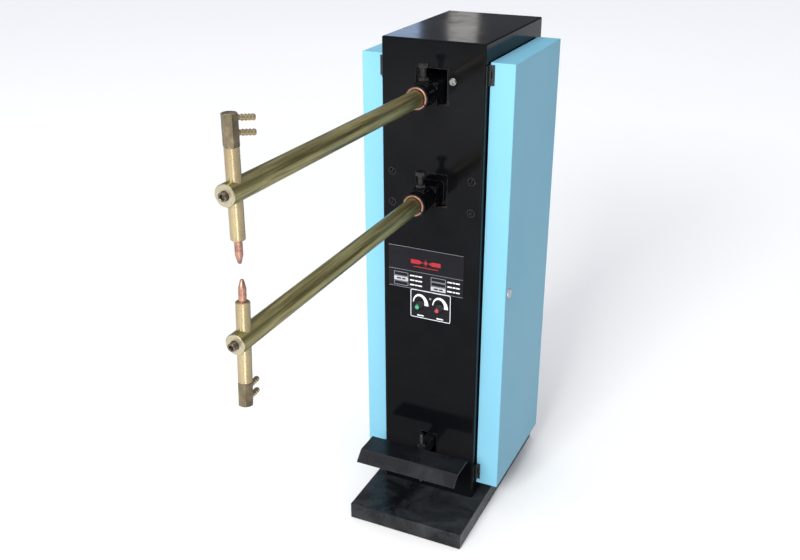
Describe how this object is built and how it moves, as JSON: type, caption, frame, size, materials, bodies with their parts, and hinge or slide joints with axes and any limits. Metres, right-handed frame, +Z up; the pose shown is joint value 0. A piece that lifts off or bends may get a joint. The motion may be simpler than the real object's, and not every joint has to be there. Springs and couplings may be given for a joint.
{
  "type": "pedal-operated rocker-arm spot welder",
  "caption": "Upright foot-pedal spot welder: a black column with swinging blue side doors, a rocking upper arm and a fixed lower arm with water-cooled electrode holders.",
  "frame": {"origin": "centre of the plinth's underside, on the floor", "axes": "+Z up, the arms reach towards -Y, +X to the right as seen from the front"},
  "size_m": [0.3476, 1.1376, 1.15],
  "materials": {
    "black_paint": "gloss",
    "blue_paint": "satin",
    "brass": "turned",
    "copper": "copper",
    "black_steel": "blackened",
    "bright_steel": "zinc plated",
    "core_steel": "laminated",
    "winding": "varnished copper winding",
    "insulation": "matte",
    "circuit_board": "satin",
    "black_plastic": "matte",
    "label": "satin"
  },
  "bodies": {
    "cabinet": {"base_plinth": "black_paint", "column_shell": "black_paint", "label_plate": "label", "cable_gland": "black_plastic", "bracket_screw_1": "bright_steel", "bracket_screw_2": "bright_steel", "bracket_screw_3": "bright_steel", "bracket_screw_4": "bright_steel", "pivot_bracket_bolt": "bright_steel", "left_top_hinge_column_leaf": "black_steel", "left_bottom_hinge_column_leaf": "black_steel", "right_top_hinge_column_leaf": "black_steel", "right_bottom_hinge_column_leaf": "black_steel", "pivot_bracket": "black_paint", "pivot_shaft": "bright_steel", "left_pivot_bush": "insulation", "right_pivot_bush": "insulation", "insulation_plate": "insulation", "lower_clamp_block": "black_paint", "lower_sleeve": "copper", "lower_clamp_bolt": "black_steel", "transformer_core": "core_steel", "primary_coil": "winding", "secondary_loop": "copper", "transformer_shelf": "black_paint", "upper_shunt": "copper", "control_board": "circuit_board", "pedal_bracket": "black_steel", "pedal_pivot_pin": "bright_steel", "rod_guide": "black_steel", "return_spring": "bright_steel", "limit_switch": "black_plastic"},
    "rocker": {"rocker_beam": "black_paint", "upper_sleeve": "copper", "upper_clamp_bolt": "black_steel", "upper_link_pin": "bright_steel"},
    "upper_arm": {"upper_arm": "brass", "upper_end_screw": "black_steel"},
    "upper_electrode": {"upper_holder": "brass", "upper_tip": "copper"},
    "lower_arm": {"lower_arm": "brass", "lower_end_screw": "black_steel"},
    "lower_electrode": {"lower_holder": "brass", "lower_tip": "copper"},
    "push_rod": {"push_rod": "bright_steel"},
    "pedal": {"pedal_lever": "black_paint", "pedal_plate": "black_paint", "lower_link_pin": "bright_steel", "stop_bolt": "black_steel"},
    "left_door": {"left_door": "blue_paint", "left_top_hinge_door_leaf": "black_steel", "left_bottom_hinge_door_leaf": "black_steel"},
    "right_door": {"right_door": "blue_paint", "right_top_hinge_door_leaf": "black_steel", "right_bottom_hinge_door_leaf": "black_steel"},
    "left_lock": {"left_lock_cam": "bright_steel"},
    "right_lock": {"right_lock_cam": "bright_steel"},
    "left_knob": {"left_knob": "black_plastic"},
    "right_knob": {"right_knob": "black_plastic"},
    "limit_plunger": {"limit_plunger": "bright_steel"}
  },
  "joints": [
    {"name": "rocker_pivot", "type": "hinge", "parent": "cabinet", "child": "rocker", "pos_m": [0, -0.058, 1.0268], "axis": [1, 0, 0], "range_deg": [0, 1.75], "stiffness_Nm_per_rad": 400, "springref_deg": -11.46},
    {"name": "push_rod_slide", "type": "slide", "parent": "cabinet", "child": "push_rod", "axis": [0, 0, 1], "range_m": [0, 0.00675], "deforming": ["return_spring"]},
    {"name": "pedal_pivot", "type": "hinge", "parent": "cabinet", "child": "pedal", "pos_m": [0, 0.11922, 0.1715], "axis": [1, 0, 0], "range_deg": [0, 9.01]},
    {"name": "limit_plunger_slide", "type": "slide", "parent": "cabinet", "child": "limit_plunger", "axis": [0, 0, 1], "range_m": [0, 0.00675]},
    {"name": "upper_arm_reach", "type": "slide", "parent": "rocker", "child": "upper_arm", "axis": [0, -0.9999, 0.0113], "range_m": [0, 0.04]},
    {"name": "upper_electrode_height", "type": "slide", "parent": "upper_arm", "child": "upper_electrode", "axis": [0, 0.0113, 0.9999], "range_m": [0, 0.03]},
    {"name": "lower_arm_reach", "type": "slide", "parent": "cabinet", "child": "lower_arm", "axis": [0, -0.9999, -0.0122], "range_m": [0, 0.04]},
    {"name": "lower_electrode_height", "type": "slide", "parent": "lower_arm", "child": "lower_electrode", "axis": [0, -0.0708, -0.9975], "range_m": [0, 0.03]},
    {"name": "right_door_hinge", "type": "hinge", "parent": "cabinet", "child": "right_door", "pos_m": [0.1186, -0.1016, 0.58], "axis": [0, 0, -1], "range_deg": [0, 90]},
    {"name": "left_door_hinge", "type": "hinge", "parent": "cabinet", "child": "left_door", "pos_m": [-0.1186, -0.1016, 0.58], "axis": [0, 0, 1], "range_deg": [0, 90]},
    {"name": "right_lock_turn", "type": "hinge", "parent": "right_door", "child": "right_lock", "pos_m": [0.171, -0.074, 0.5815], "axis": [1, 0, 0], "range_deg": [0, 90]},
    {"name": "left_lock_turn", "type": "hinge", "parent": "left_door", "child": "left_lock", "pos_m": [-0.171, -0.074, 0.5815], "axis": [1, 0, 0], "range_deg": [0, 90]},
    {"name": "left_knob_turn", "type": "hinge", "parent": "cabinet", "child": "left_knob", "pos_m": [-0.023, -0.128, 0.537], "axis": [0, 1, 0], "range_deg": [0, 270]},
    {"name": "right_knob_turn", "type": "hinge", "parent": "cabinet", "child": "right_knob", "pos_m": [0.025, -0.128, 0.537], "axis": [0, 1, 0], "range_deg": [0, 270]}
  ],
  "couplings": [
    {"joint": "pedal_pivot", "follows": "rocker_pivot", "ratio": 5.1429},
    {"joint": "push_rod_slide", "follows": "rocker_pivot", "m_per_rad": 0.22},
    {"joint": "limit_plunger_slide", "follows": "rocker_pivot", "m_per_rad": 0.22}
  ]
}
